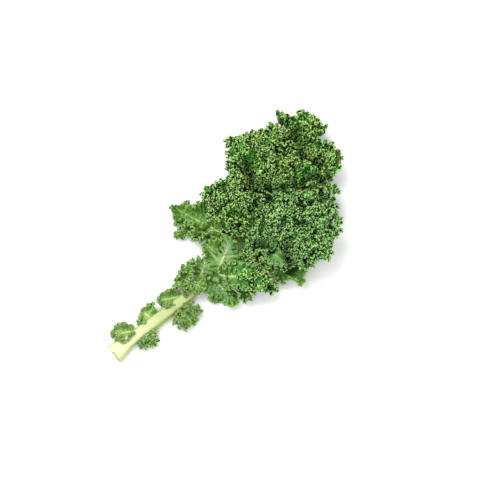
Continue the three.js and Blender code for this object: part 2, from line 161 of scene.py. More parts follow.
SMOOTH_TUFT_SHAPE = (50, 4, -10, 25, 0, 0, 0.4)

WAXY = ("right_4", "right_5", "right_6", "inner_5", "inner_2")  # lobes with a bluish bloom of wax
RIPE = ("tip", "right_7", "right_8", "left_7", "inner_3", "inner_4", "inner_7")  # yellower edges
LIGHT_WAX = 0.55  # of the other lobes
BACK_CRISPNESS = 0.84  # that a lobe which lies on its face doesn't pass in colour

# ---- a lobe's form

ROOT_SUNK = 1.5  # how far a lobe's root is sunk into the stalk's side
BLADE_RISE = 1.5  # of a lobe's root over the stalk's middle
LEAFLET_RISE = 0.5
RIB_STEPS = 64
WRAP = math.radians(155)  # that a margin runs round its lobe to each side of the tip
LOBE_CENTRE = 0.52  # along the rib, in reaches
UPTURN_START = 0.6  # where along its rib a lobe begins to turn up, in reaches
RIB_SHARE = 0.9  # the rib stops this far along the lobe
RIB_CROWDING = 0.85  # under 1, veins leave the rib closer together towards its tip
SUB_LOBES = 5
SUB_LOBE_DEPTH = 0.1
VEINS = 6  # side veins from each side of a lobe's rib
RIB_TIP = 0.2  # half width of a lobe's rib at its tip
RIB_ROOT = 1.5  # and at the root of the longest lobes
RIB_HEIGHT = 1.5  # in half widths, as how far its flanks reach
RIB_FLANKS = 1.3
RIB_START = 0.15  # share of the margin from the root over which the rib rises
MARGIN_THICKENING = 0.3  # share by which the sheet is thicker at its margin
MARGIN_BAND = 2

# Of folds, ruffles and curls in turn: the share that the smoothest lobe keeps, how far they stray
# from even in radians, how far their heights vary, and how far they swing out in their heights.
KEPT = (0, 0.45, 0.8)
UNEVENNESS = (0.9, 1.2, 1.3)
VARIETY = (0.35, 0.5, 0.5)
SWINGS = (0, 0.3, 0.2)
LEAN = 0.2  # how far a fold leans over along the margin, in fold heights
TIP_FOLDS = 0.45  # share of its height that a fold has at the lobe's tip
TIP_REGION = 0.5  # share of the margin to each side of the tip over which it grows to all of it
ROOT_REGION = 0.06  # share of the margin from the root over which the folds begin
ROOT_CURLS = 0.25  # share of the ruffles and curls at the root itself
FOLD_END = 0.95  # how far out from the rib a fold has its full height
FOLD_POWER = 1.1
TOOTH_WAVE = 2.1
TOOTH_DRIFT = 5  # the larger, the more slowly teeth come closer and part again
TOOTH_DEPTH = 2.5
# Against the blade's folds, ruffles and curls, but for the height of a fold over its length.
LEAFLET_SCALE = {"fold": 14 / 26, "height": 0.5, "ruffle": 0.62, "curl": 0.85, "lift": 1.3}

CREVICES = (  # lines in plan along which the foliage dips, between its mounds
    ((292, 0), (280, -14), (271, -26), (274, -41)),
    ((229, 16), (216, -3), (225, -24), (244, -40), (256, -43), (269, -58)),
    ((172, -43), (175, -58)),
    ((184, -69), (175, -82)),
)
CREVICE_WIDTH = 6
CREVICE_DEPTH = 16
DIP_LEVEL = 3  # that no crevice reaches below
PRESS_LEVEL = 0.2  # to which the surface flattens what would hang below it
PRESS_SOFTNESS = 1.2

# ---- a lobe's grid

MARGIN_SAMPLES = 2400
NEAR_MARGIN = (0.9, 1.0)  # a line beside the margin, and the margin whose length is measured
NEAR_WEIGHTS = (0.85, 1.0)  # share of their height that folds and ruffles have there
# Distances from the margin, and shares of what is left from there to the rib, of a lobe's rows.
MARGIN_ROWS = (0, 0.35, 0.8, 1.4, 2.2, 3.2, 4.6, 6.4, 8.6, 11.4, 15)
INNER_ROWS = (0.66, 0.4, 0.2, 0.1, 0.045, 0)
FINE_ROWS = 5  # rows from the margin with every column
MIDDLE_ROWS = 9  # and, with those, rows with at least every third
SHORT_VEIN = 22  # under this, the rows from the margin are closer together
RIB_COLUMNS = 49
UV_HEIGHT = 0.48  # share of the bake map's height that each side of a sheet takes up

# ---- the wings of blade along the midrib

WING_START = 100
WING_STOP = 2  # before the midrib's end
WING_WIDTH = 6
WING_SLOPE = math.radians(18)
WING_GROWTH = 30  # length over which a wing reaches its width
WING_LEAD = 5  # of it that lies before the start
WING_SUNK = 1  # how far its inner row is within the midrib
WING_RISE = 1
WING_WAVE = 1.2
WING_RIPPLE = 5  # the larger, the longer its waves
WING_EDGE = 6  # its margin is coloured as tissue so far from one
WING_COLUMNS = 90
WING_ROWS = 7

# ---- the stage

VIEW_CENTRE = (167, -37)  # the place on the surface that the camera looks at, in the leaf's plan
FLOOR_HALF = 3  # in metres, as the lights' places and sizes are
KEY_PLACE, KEY_SIZE = (-0.05, 0.6, 1.1), 0.9
FILL_PLACE, FILL_SIZE = (-0.65, -0.3, 0.9), 0.8

# ---- patterns in the tissue, to a metre

PATCH_RATE = 38
NET_RATE = 330
GRAIN_RATE = 900
BLISTER_RATE = 480
RIPE_RATE = 260
FLECK_RATE = 300

NODE_ROWS = 8  # in the layout of a material's nodes
NODE_GAP = 240


# ---- settings


def measure(name, description, default, **more):
    """A number that a user may change."""
    return bpy.props.FloatProperty(name=name, description=description, default=default, **more)


def paint(name, description, *default):
    """A colour that a user may change."""
    return bpy.props.FloatVectorProperty(
        name=name, description=description, subtype="COLOR", default=default
    )


class LeafCurls(bpy.types.PropertyGroup):
    fold_wave: measure("Fold", "Length of a fold along the plain margin, in mm", 26)
    fold_height: measure("Fold height", "Height of a fold over its length", 0.33, subtype="FACTOR")
    ruffle_wave: measure("Ruffle", "Length of a ruffle along the folded margin, in mm", 6.4)
    ruffle_height: measure("Ruffle height", "Height of a ruffle over its length", 0.45, subtype="FACTOR")
    ruffle_depth: measure("Ruffle depth", "How far in from the margin ruffles reach, in mm", 21)
    curl_wave: measure("Curl", "Length of a curl along the ruffled margin, in mm", 2.7)
    curl_height: measure("Curl height", "Height of a curl over its length", 0.36, subtype="FACTOR")
    curl_depth: measure("Curl depth", "How far in from the margin curls reach, in mm", 3.8)
    tooth: measure("Tooth", "How far the teeth of the margin stand out, in mm", 0.8)
    thickness: measure("Thickness", "Thickness of the blade between its veins, in mm", 0.5)
    spacing: measure("Spacing", "Distance between points along the curled margin, in mm", 0.64)


class LeafColours(bpy.types.PropertyGroup):
    deep: paint("Deep green", "The older parts of the blade", 0.074, 0.295, 0.034)
    fresh: paint("Fresh green", "The younger parts of the blade", 0.14, 0.345, 0.027)
    young: paint("Young green", "The leaflets", 0.36, 0.54, 0.13)
    # Rim and ripe rim are the painted highlight on the crests of the curled edges, and its yellower
    # specks.
    rim: paint("Rim", "The thin curled edges", 0.25, 0.42, 0.125)
    bloom: paint("Bloom", "The bluish wax on some lobes", 0.24, 0.40, 0.18)
    ripe_rim: paint("Ripe rim", "The yellower specks of the edges", 0.34, 0.405, 0.07)
    vein: paint("Veins", "Ribs and veins in the blade", 0.46, 0.60, 0.22)
    under: paint("Underside", "The paler back of the blade", 0.165, 0.245, 0.115)
    stalk: paint("Stalk", "The petiole", 0.40, 0.45, 0.185)
    foot: paint("Foot", "The pale end of the stalk", 0.57, 0.58, 0.34)
    midrib: paint("Midrib", "The stalk within the blade", 0.12, 0.165, 0.02)
    edge: paint("Stalk edge", "The green lines of the stalk", 0.20, 0.31, 0.045)
    dry: paint("Dry cut", "Specks round the cut", 0.25, 0.27, 0.04)
    floor: paint("Floor", "The surface that the leaf lies on", 0.93, 0.93, 0.93)


class LeafStage(bpy.types.PropertyGroup):
    azimuth: measure("Azimuth", "Way round to the camera", math.radians(-52), subtype="ANGLE")
    elevation: measure("Elevation", "How high the camera stands", math.radians(70), subtype="ANGLE")
    width: measure("Frame width", "Width of the picture at the leaf", 0.5, unit="LENGTH")
    lens: measure("Lens", "Focal length in mm", 85)
    key_power: measure("Key light", "Power of the main light", 14.3, unit="POWER")
    fill_power: measure("Fill light", "Power of the second light", 4.4, unit="POWER")
    sky: measure("Sky", "Brightness of the white surroundings", 0.92)


# ---- arithmetic


def draw(key, other):
    """The same number from 0 to 1 each time for the same pair of keys."""
    value = math.sin(key * 12.9898 + other * 78.233) * 43758.5453
    return value - math.floor(value)


def smoothstep(x):
    x = np.clip(x, 0.0, 1.0)
    return x * x * (3 - 2 * x)


def wobble(x, seed):
    """A smooth uneven wave between about -1 and 1, drawn from a seed."""
    waves = enumerate((1, 1.87, 3.13))
    return sum(0.72**k * np.sin(x * rate + math.tau * draw(seed, k + 1)) for k, rate in waves) / 1.9


def unit(vectors):
    return vectors / np.maximum(np.linalg.norm(vectors, axis=-1, keepdims=True), 1e-9)


def between(stops, place):
    """The value between stops (place, value) at each place."""
    return np.interp(place, *zip(*stops))


def arc_length(line):
    return np.append(0, np.cumsum(np.linalg.norm(np.diff(line, axis=0), axis=1)))


def sample(places, known, values):
    """Rows of values, known at rising places, interpolated at other places."""
    return np.stack([np.interp(places, known, column) for column in values.T], -1)


def walk(start, length, steps, heading, slope):
    """Points stepped off along directions given by heading and slope in degrees."""
    share = np.linspace(0, 1, steps + 1)
    turn = np.radians(heading(share))
    climb = np.radians(slope(share))
    level = np.cos(climb)
    directions = np.stack([level * np.cos(turn), level * np.sin(turn), np.sin(climb)], -1)
    middle = (directions[1:] + directions[:-1]) / 2
    points = np.concatenate([[np.zeros(3)], np.cumsum(middle, 0)]) * (length / steps) + start
    return share, points, directions


def stop(path, share):
    """The place and direction at shares of a walk."""
    known, points, directions = path
    return sample(share, known, points), unit(sample(share, known, directions))


# ---- stalk

MIDRIB = walk(
    (0, 0, AXIS_HEIGHT),
    STALK_LENGTH,
    MIDRIB_STEPS,
    lambda share: between(HEADINGS, share),
    lambda share: between(SLOPES, share),
)


def stalk_halves(distance):
    """Half width and half depth of the stalk at distances from its cut foot."""
    flare = 1 - smoothstep(distance / FOOT_LENGTH)
    taper = smoothstep((distance - TAPER_START) / (STALK_LENGTH - TAPER_START)) ** TAPER_POWER
    width = PETIOLE_WIDTH + (MIDRIB_END - PETIOLE_WIDTH) * taper + flare * (FOOT_WIDTH - PETIOLE_WIDTH)
    depth = PETIOLE_DEPTH + (MIDRIB_END - PETIOLE_DEPTH) * taper
    return width / 2, depth / 2


def stalk_frame(distance):
    """Centre, left and upward directions of the stalk at distances from its foot."""
    centre, ahead = stop(MIDRIB, distance / STALK_LENGTH)
    left = unit(np.cross([0, 0, 1], ahead))
    return centre, left, np.cross(ahead, left)


def stalk_rings(stations, around):
    """Rings of points round the stalk: its section is a flattened oval, hollow along the top."""
    centre, left, upward = stalk_frame(stations)
    half_width, half_depth = stalk_halves(stations)
    angle = np.linspace(0, math.tau, around, endpoint=False)
    x = np.cos(angle)
    hollow = np.where(angle < math.pi, 1 - GROOVE_SHARE * (1 - x * x), 1.0)
    y = np.sin(angle) * hollow
    sideways = left[:, None] * (x * half_width[:, None])[..., None]
    upright = upward[:, None] * (y * half_depth[:, None])[..., None]
    return centre[:, None] + sideways + upright


def plan_shift():
    """From the leaf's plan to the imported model's frame, in mm, by where its stalk lies."""
    rings = stalk_rings(np.linspace(0, STALK_LENGTH, SOLID_RINGS), SOLID_SIDES)
    low = np.array(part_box("stalk")[0]) / MM
    return (low - rings.min((0, 1))) * (1, 1, 0)


SHIFT = plan_shift()


# ---- lobes


class Lobe:
    """One lobe or leaflet: its rib's path and the shape of its plain sheet."""

    def __init__(self, name, order, root, heading, reach, half, shape, tone):
        self.name, self.reach, self.half, self.tone = name, reach, half, tone
        root_slope, tip_slope, end_slope, cup, roll, bend, self.crisp = shape
        self.seed = order * 1.37 + 2
        self.cup = math.radians(cup)
        self.roll = math.radians(roll)
        self.rib = walk(
            root,
            self.reach,
            RIB_STEPS,
            lambda t: heading + bend * t,
            lambda t: root_slope
            + (tip_slope - root_slope) * t
            + (end_slope - tip_slope) * smoothstep((t - UPTURN_START) / (1 - UPTURN_START)),
        )

    def strength(self, octave):
        """How much of its folds, ruffles or curls the lobe has."""
        return KEPT[octave] + (1 - KEPT[octave]) * self.crisp

    def sheet(self, share, sideways):
        """Points of the plain sheet at shares of the rib and signed distances from it."""
        point, ahead = stop(self.rib, np.clip(share, 0, 1).ravel())
        over = np.maximum(share.ravel() - 1, 0)[:, None]
        point = point + ahead * over * self.reach
        level = unit(np.cross([0, 0, 1], ahead))
        upright = np.cross(ahead, level)
        across = level * math.cos(self.roll) + upright * math.sin(self.roll)
        normal = upright * math.cos(self.roll) - level * math.sin(self.roll)
        curl = self.cup / self.half
        arc = (curl * sideways).ravel()[:, None]
        point = point + across * np.sin(arc) / curl + normal * (1 - np.cos(arc)) / curl
        return point.reshape(share.shape + (3,))

    def points(self, theta, out):
        """theta runs round the margin from the root, -1, over the tip, 0, back to the root, 1,
        and out from the rib, 0, to the margin, 1."""
        turn = theta * WRAP
        scallop = 1 + SUB_LOBE_DEPTH * np.cos(turn * SUB_LOBES + math.tau * draw(self.seed, 5))
        margin_share = LOBE_CENTRE + (1 - LOBE_CENTRE) * np.cos(turn) * scallop
        margin_out = self.half * np.sin(turn) * scallop
        rib_share = RIB_SHARE * (1 - np.abs(theta)) ** RIB_CROWDING
        share = rib_share + (margin_share - rib_share) * out
        return self.sheet(share, margin_out * out)


def place_on(path, share):
    """The place and the heading in degrees at a share of a walk."""
    point, ahead = stop(path, np.array([share]))
    return point[0], math.degrees(math.atan2(ahead[0, 1], ahead[0, 0]))


def lobe_on_stalk(row, order, rise):
    """The lobe of a row, with its root in the side of the stalk and so far above its middle."""
    name, at, side, angle, reach, half = row[:6]
    centre, left, _ = stalk_frame(np.array([at]))
    _, heading = place_on(MIDRIB, at / STALK_LENGTH)
    inset = max(0, stalk_halves(at)[0] - ROOT_SUNK)
    root = centre[0] + left[0] * side * inset + (0, 0, rise)
    return Lobe(name, order, root, heading + side * angle, reach, half, row[6:13], row[13])


def lobe_on_lobe(parent, order, shape, share, angle, reach, half, tone=None):
    """A tuft on another lobe's rib, with its green where it has none of its own."""
    root, heading = place_on(parent.rib, share)
    tone = parent.tone if tone is None else tone
    return Lobe(parent.name, order, root, heading + angle, reach, half, shape, tone)


def facing(points):
    """Which way a grid of points faces, and which way it runs onward and outward."""
    onward = np.gradient(points, axis=0)
    outward = np.gradient(points, axis=1)
    return unit(np.cross(onward, outward)), unit(onward), unit(outward)


def meander(points, phase, height, weight, swing):
    """Throws a grid into folds that stand up from it, lean over and swing outwards."""
    normal, onward, outward = facing(points)
    rise = height[:, None] * weight * np.cos(phase)[:, None]
    lean = LEAN * height[:, None] * weight**2 * np.sin(2 * phase)[:, None]
    reach = swing * height[:, None] * weight**2 * np.sin(phase)[:, None]
    return points + normal * rise[..., None] + onward * lean[..., None] + outward * reach[..., None]


def curl_octaves(curls, scale):
    """Wave, height over wave and depth from the margin of the folds, ruffles and curls."""
    ruffle, curl, lift = scale["ruffle"], scale["curl"], scale["lift"]
    return (
        (curls.fold_wave * scale["fold"], scale["height"], None),
        (curls.ruffle_wave * ruffle, curls.ruffle_height * lift, curls.ruffle_depth * ruffle),
        (curls.curl_wave * curl, curls.curl_height * lift, curls.curl_depth * curl),
    )


def margin_columns(lobe, octaves, spacing):
    """Columns evenly along the curled margin, with each octave's phase and height there."""
    theta = np.linspace(-1, 1, MARGIN_SAMPLES)
    phases, heights = [], []
    for k, (wave, share, _) in enumerate(octaves):
        margin = lobe.points(theta[:, None], NEAR_MARGIN)
        for phase, height, swing in zip(phases, heights, SWINGS):
            margin = meander(margin, phase, height, np.array(NEAR_WEIGHTS), swing)
        length = arc_length(margin[:, 1])
        total = length[-1]
        count = MARGIN_SAMPLES if k < len(octaves) - 1 else int(total / spacing)
        even = np.linspace(0, total, count)
        theta = np.interp(even, length, theta)
        phases = [np.interp(even, length, phase) for phase in phases]
        heights = [np.interp(even, length, height) for height in heights]
        waves = max(2, round(total / wave))
        offset = math.tau * draw(lobe.seed, 3.3 + k)
        uneven = UNEVENNESS[k] * wobble(even / wave * 0.9, lobe.seed + 11 * k)
        phases.append(math.tau * waves * even / total + uneven + offset)
        height = share * wave * lobe.strength(k)
        if k == 0:
            height = height * (TIP_FOLDS + (1 - TIP_FOLDS) * smoothstep(np.abs(theta) / TIP_REGION))
        heights.append(height * (1 + VARIETY[k] * wobble(even / wave * 0.55, lobe.seed + 17 * k + 5)))
    return theta, phases, heights


def line_distance(points, line):
    """How far points are, in plan, from the nearest of a line's stretches."""
    nearest = np.full(points.shape[:-1], np.inf)
    for start, end in zip(line, line[1:]):
        start, step = np.array(start), np.subtract(end, start)
        share = np.clip((points[..., :2] - start) @ step / (step @ step), 0, 1)
        gap = points[..., :2] - start - share[..., None] * step
        nearest = np.minimum(nearest, np.linalg.norm(gap, axis=-1))
    return nearest


def crevice_share(points):
    """How far points are into a crevice between mounds of foliage, from 0 to 1."""
    nearest = np.min([line_distance(points, line) for line in CREVICES], axis=0)
    return np.exp(-((nearest / CREVICE_WIDTH) ** 2))


def dip(points):
    """Lowers the points in the crevices, but not onto the surface."""
    dipped = points.copy()
    room = np.maximum(points[..., 2] - DIP_LEVEL, 0)
    dipped[..., 2] -= np.minimum(CREVICE_DEPTH * crevice_share(points), room)
    return dipped


def press(points):
    """Flattens onto the surface what hangs below it."""
    pressed = points.copy()
    height = (points[..., 2] - PRESS_LEVEL) / PRESS_SOFTNESS
    pressed[..., 2] = PRESS_LEVEL + PRESS_SOFTNESS * np.logaddexp(0, height)
    return pressed


def curled_grid(lobe, curls, scale):
    """Where round the margin the columns of a lobe's grid are, the curled middle surface, and of
    each point: its share of the way out from the rib, its distances from the margin and the rib,
    and the width there between two side veins."""
    octaves = curl_octaves(curls, scale)
    theta, phases, heights = margin_columns(lobe, octaves, curls.spacing)
    plain = lobe.points(theta[:, None], (0, 1))
    vein = np.linalg.norm(plain[:, 1] - plain[:, 0], axis=1)
    room = np.maximum(vein, SHORT_VEIN * scale["curl"])
    margin = 1 - np.array(MARGIN_ROWS) * scale["curl"] / room[:, None]
    inner = margin[:, -1:] * INNER_ROWS
    out = np.concatenate([margin, inner], 1)[:, ::-1]
    points = lobe.points(theta[:, None], out)
    edge = (1 - out) * vein[:, None]
    spread = np.linalg.norm(np.gradient(points, axis=0), axis=-1) / np.gradient(theta)[:, None] / VEINS
    held = smoothstep((1 - np.abs(theta)) / ROOT_REGION)[:, None]
    for k, (phase, height) in enumerate(zip(phases, heights)):
        if k == 0:
            weight = smoothstep(out / FOLD_END) ** FOLD_POWER * held
        else:
            depth = octaves[k][2] * lobe.strength(k)
            weight = smoothstep(1 - edge / depth) * (ROOT_CURLS + (1 - ROOT_CURLS) * held)
        points = meander(points, phase, height, weight, SWINGS[k])
    length = arc_length(points[:, -1])
    drift = 2 * wobble(length / TOOTH_DRIFT, lobe.seed + 40)
    tooth = 0.5 + 0.5 * np.sin(length / TOOTH_WAVE * math.tau + drift)
    push = tooth[:, None] * smoothstep(1 - edge / TOOTH_DEPTH) * curls.tooth * scale["curl"]
    points = points + facing(points)[2] * push[..., None]
    return theta, press(dip(points)), (out, edge, out * vein[:, None], spread)


# ---- meshes


def zip_rows(theta_a, first_a, theta_b, first_b):
    """Triangles between two rows of points whose columns are at different places."""
    next_a, next_b = np.append(theta_a[1:], math.inf), np.append(theta_b[1:], math.inf)
    faces = []
    i = k = 0
    while i < len(theta_a) - 1 or k < len(theta_b) - 1:
        if next_a[i] <= next_b[k]:
            faces.append((first_a + i, first_a + i + 1, first_b + k))
            i += 1
        else:
            faces.append((first_a + i, first_b + k + 1, first_b + k))
            k += 1
    return np.array(faces)


def two_triangles(a, b, c, d):
    """The triangles of four-sided faces, whose corners run round from a to d."""
    halves = ((a, b, c), (a, c, d))
    return np.concatenate([np.stack(half, -1).reshape(-1, 3) for half in halves])


def vertex_normals(points, triangles):
    a, b, c = (points[corner] for corner in triangles.T)
    face = np.cross(b - a, c - a)
    normals = np.zeros_like(points)
    for corner in triangles.T:
        np.add.at(normals, corner, face)
    return unit(normals)


def free_edges(triangles, count):
    """The edges that only one triangle has, in its direction."""
    pairs = np.concatenate([triangles[:, pair] for pair in ([0, 1], [1, 2], [2, 0])])
    return pairs[~np.isin(pairs @ (count, 1), pairs @ (1, count))]


def new_object(name, data):
    """An object in the scene."""
    thing = bpy.data.objects.new(name, data)
    bpy.context.scene.collection.objects.link(thing)
    return thing


def put(data, key, values, kind=np.float32):
    """Writes values into all items of a mesh's data."""
    data.foreach_set(key, values.astype(kind).ravel())


def mesh_piece(name, points, triangles, material, values, uv=None):
    """A smooth mesh object from points in the leaf's plan, with named values for each point."""
    mesh = bpy.data.meshes.new(name)
    mesh.vertices.add(len(points))
    put(mesh.vertices, "co", (points + SHIFT) * MM)
    mesh.loops.add(triangles.size)
    mesh.polygons.add(len(triangles))
    put(mesh.loops, "vertex_index", triangles, np.int32)
    put(mesh.polygons, "loop_start", np.arange(0, triangles.size, 3), np.int32)
    put(mesh.polygons, "use_smooth", np.ones(len(triangles)), bool)
    if uv is not None:
        put(mesh.uv_layers.new(name="OFBake").data, "uv", uv)
    mesh.update(calc_edges=True)
    for key, value in values.items():
        put(mesh.attributes.new(key, "FLOAT", "POINT").data, "value", value)
    mesh.materials.append(material)
    mesh.validate()
    return new_object(name, mesh)


def sheet_piece(name, points, triangles, uv, values, thickness, material):
    """A closed thin solid round a middle surface. uv is for each corner of the triangles."""
    normals = vertex_normals(points, triangles)
    half = thickness[:, None] / 2
    count = len(points)
    both = np.concatenate([points - normals * half, points + normals * half])
    a, b = free_edges(triangles, count).T
    walls = two_triangles(a, b, b + count, a + count)
    faces = np.concatenate([triangles[:, ::-1], triangles + count, walls])
    corner = np.zeros((count, 2))
    corner[triangles.ravel()] = uv.reshape(-1, 2)
    under_corner, under_uv = (each * (1, -1) + (0, 1) for each in (corner, uv))
    wall_uv = np.concatenate([corner, under_corner])[walls]
    all_uv = np.concatenate([uv[:, ::-1], under_uv, wall_uv])
    doubled = {key: np.concatenate([value, value]) for key, value in values.items()}
    doubled["under"] = np.repeat([0.0, 1.0], count)
    return mesh_piece(name, both, faces, material, doubled, all_uv)


def row_places(theta):
    """Where round the margin the points of each row are: thick by the margin, thin by the rib."""
    third = np.append(theta[:-1:3], theta[-1])
    by_rib = np.sin(np.linspace(-1, 1, RIB_COLUMNS) * math.pi / 2)
    thin = len(MARGIN_ROWS) + len(INNER_ROWS) - MIDDLE_ROWS
    return [by_rib] * thin + [third] * (MIDDLE_ROWS - FINE_ROWS) + [theta] * FINE_ROWS


def join_rows(places):
    """Triangles over rows of points one after the other."""
    faces = []
    first = 0
    for row, outer in zip(places, places[1:]):
        after = first + len(row)
        if len(row) == len(outer):
            a = first + np.arange(len(row) - 1)
            b = a + len(row)
            faces.append(two_triangles(a, a + 1, b + 1, b))
        else:
            faces.append(zip_rows(row, first, outer, after))
        first = after
    return np.concatenate(faces)


def lobe_piece(name, lobe, curls, scale, material):
    """A lobe as a closed thin solid, with what its tissue's colours go by."""
    known, grid, measures = curled_grid(lobe, curls, scale)
    places = row_places(known)
    rows = list(enumerate(places))
    points = np.concatenate([sample(row, known, grid[:, j]) for j, row in rows])
    out, edge, rib, spread = (
        np.concatenate([np.interp(row, known, each[:, j]) for j, row in rows]) for each in measures
    )
    theta = np.concatenate(places)
    faces = join_rows(places)
    # The two halves of the innermost row are the same rib, so they share the points of one.
    middle = RIB_COLUMNS // 2
    points[:RIB_COLUMNS] = (points[:RIB_COLUMNS] + points[:RIB_COLUMNS][::-1]) / 2
    shared = np.abs(np.arange(len(points)) - middle)
    uv = np.stack([(theta + 1) / 2, out * UV_HEIGHT], -1)[faces]
    # The sheet is thicker at its margin and along its rib, but not where the rib joins the stalk.
    root_half = min(RIB_ROOT, 0.5 + lobe.reach / 60)
    rib_half = RIB_TIP + (root_half - RIB_TIP) * np.abs(theta) ** 1.3
    at_margin = 1 - smoothstep(edge / MARGIN_BAND)
    on_rib = np.exp(-((rib / (RIB_FLANKS * rib_half)) ** 2))
    from_root = smoothstep((1 - np.abs(theta)) / RIB_START)
    thickness = curls.thickness * (1 + MARGIN_THICKENING * at_margin)
    thickness += RIB_HEIGHT * rib_half * on_rib * from_root
    turned_over = abs(lobe.roll) > math.pi / 2
    one = np.ones(len(theta))
    values = {
        "edge": edge,
        "spread": spread,
        "ribside": rib / rib_half,
        "turn": np.abs(theta) * VEINS,
        # how far into a crevice: there the tissue is painted darker, as shade
        "hollow": crevice_share(points),
        "tone": lobe.tone * one,
        "crisp": (min(lobe.crisp, BACK_CRISPNESS) if turned_over else lobe.crisp) * one,
        "wax": (1 if lobe.name in WAXY else 0 if lobe.name in RIPE else LIGHT_WAX) * one,
    }
    values = {key: value[middle:] for key, value in values.items()}
    points, thickness = points[middle:], thickness[middle:]
    return sheet_piece(name, points, shared[faces], uv, values, thickness, material)


# ---- materials

TISSUE_VALUES = ("Edge", "Rib side", "Turn", "Spread", "Under", "Tone", "Crisp", "Wax", "Hollow")
TISSUE_COLOURS = ("Bloom", "Deep", "Fresh", "Rim", "Ripe rim", "Vein", "Back")


def feed(socket, value):
    """Links a socket to another one, or sets it to a number or a colour."""
    if isinstance(value, bpy.types.NodeSocket):
        socket.id_data.links.new(value, socket)
    elif isinstance(value, (int, float)):
        socket.default_value = value
    else:
        socket.default_value = (*value, 1)


def fill(node, **values):
    """Sets a node's own values and feeds its inputs, whose names are given with spaces as _."""
    for key, value in values.items():
        if hasattr(node, key):
            setattr(node, key, value)
        else:
            feed(node.inputs[key.replace("_", " ")], value)


def add(tree, kind, **values):
    """A new node, laid out in columns with the others of its tree."""
    node = tree.nodes.new(kind)
    column, row = divmod(len(tree.nodes), NODE_ROWS)
    node.location = (column * NODE_GAP, -row * NODE_GAP)
    fill(node, **values)
    return node


def ramp(tree, source, stops):
    """A colour ramp on a value, with stops (position, colour)."""
    node = add(tree, "ShaderNodeValToRGB", Fac=source)
    elements = node.color_ramp.elements
    while len(elements) < len(stops):
        elements.new(0.5)
    for element, (position, colour) in zip(elements, stops):
        element.position = position
        element.color = (*colour, 1)
    return node.outputs["Color"]


def mix(tree, factor, a, b, blend="MIX"):
    """Colours a and b mixed by a factor."""
    node = add(tree, "ShaderNodeMix", data_type="RGBA", blend_type=blend)
    for socket, value in ((node.inputs[0], factor), (node.inputs[6], a), (node.inputs[7], b)):
        feed(socket, value)
    return node.outputs[2]


def math_node(tree, operation, a, b=0, clamp=False):
    node = add(tree, "ShaderNodeMath", operation=operation, use_clamp=clamp)
    feed(node.inputs[0], a)
    feed(node.inputs[1], b)
    return node.outputs[0]


def product(tree, a, b):
    return math_node(tree, "MULTIPLY", a, b)


def scaled(tree, value, low, high, to_low=0, to_high=1):
    """A value between low and high carried over to between to_low and to_high, and no further."""
    ends = {"From_Min": low, "From_Max": high, "To_Min": to_low, "To_Max": to_high}
    return add(tree, "ShaderNodeMapRange", Value=value, **ends).outputs["Result"]


def noise(tree, place, **values):
    return add(tree, "ShaderNodeTexNoise", Vector=place, **values).outputs["Fac"]


def cells(tree, place, feature, rate):
    """Distance in a pattern of cells, from their middles or from their edges."""
    node = add(tree, "ShaderNodeTexVoronoi", feature=feature, Vector=place, Scale=rate)
    return node.outputs["Distance"]


def attribute(tree, name):
    return add(tree, "ShaderNodeAttribute", attribute_name=name).outputs["Fac"]


